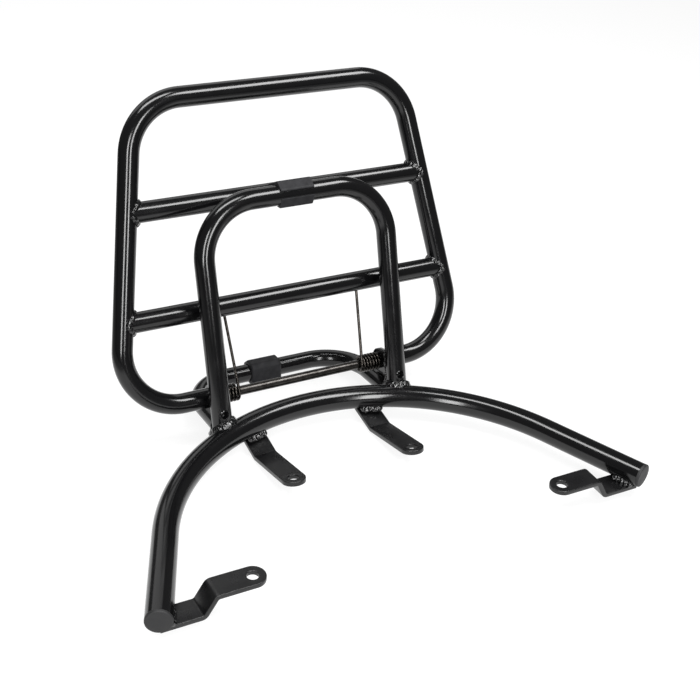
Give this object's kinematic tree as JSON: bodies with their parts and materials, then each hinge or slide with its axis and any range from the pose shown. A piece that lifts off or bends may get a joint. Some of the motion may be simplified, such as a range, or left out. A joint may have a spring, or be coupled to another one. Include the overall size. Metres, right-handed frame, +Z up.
{
  "type": "motorcycle luggage rack",
  "caption": "Folding rear luggage rack of black bent tube: a base arch with bolt tabs, an upright hoop and a sprung flap that hinges on a rod, with rubber stops.",
  "frame": {"origin": "midway between the two front bolt holes, on the underside of their tabs", "axes": "+X across the rack, to the right when looking rearwards along +Y, and +Z up"},
  "size_m": [0.4346, 0.3074, 0.2785],
  "materials": {
    "gloss_black_coat": "gloss",
    "satin_black_coat": "satin",
    "black_rubber": "matte",
    "spring_wire": "oiled",
    "rod_steel": "bright drawn"
  },
  "bodies": {
    "frame": {"arch_tube": "gloss_black_coat", "arch_end_cap_left": "satin_black_coat", "arch_end_cap_right": "satin_black_coat", "hoop_tube": "gloss_black_coat", "hinge_ear_left": "gloss_black_coat", "hinge_ear_right": "gloss_black_coat", "support_loop": "gloss_black_coat", "front_mount_tab_left": "satin_black_coat", "front_mount_tab_right": "satin_black_coat", "rear_mount_tab_left": "satin_black_coat", "rear_mount_tab_right": "satin_black_coat", "hoop_rubber_stop": "black_rubber", "loop_rubber_buffer": "black_rubber", "torsion_spring_left": "spring_wire", "torsion_spring_right": "spring_wire"},
    "flap": {"flap_tube": "gloss_black_coat", "flap_crossbar_upper": "gloss_black_coat", "flap_crossbar_lower": "gloss_black_coat", "flap_end_disc_left": "gloss_black_coat", "flap_end_disc_right": "gloss_black_coat", "hinge_rod": "rod_steel"}
  },
  "joints": [
    {"name": "flap_hinge", "type": "hinge", "parent": "frame", "child": "flap", "pos_m": [0, 0.20315, 0.01517], "axis": [-1, 0, 0], "range_deg": [0, 80.2], "stiffness_Nm_per_rad": 1.57, "springref_deg": -34.38, "deforming": ["torsion_spring_left", "torsion_spring_right"]}
  ]
}
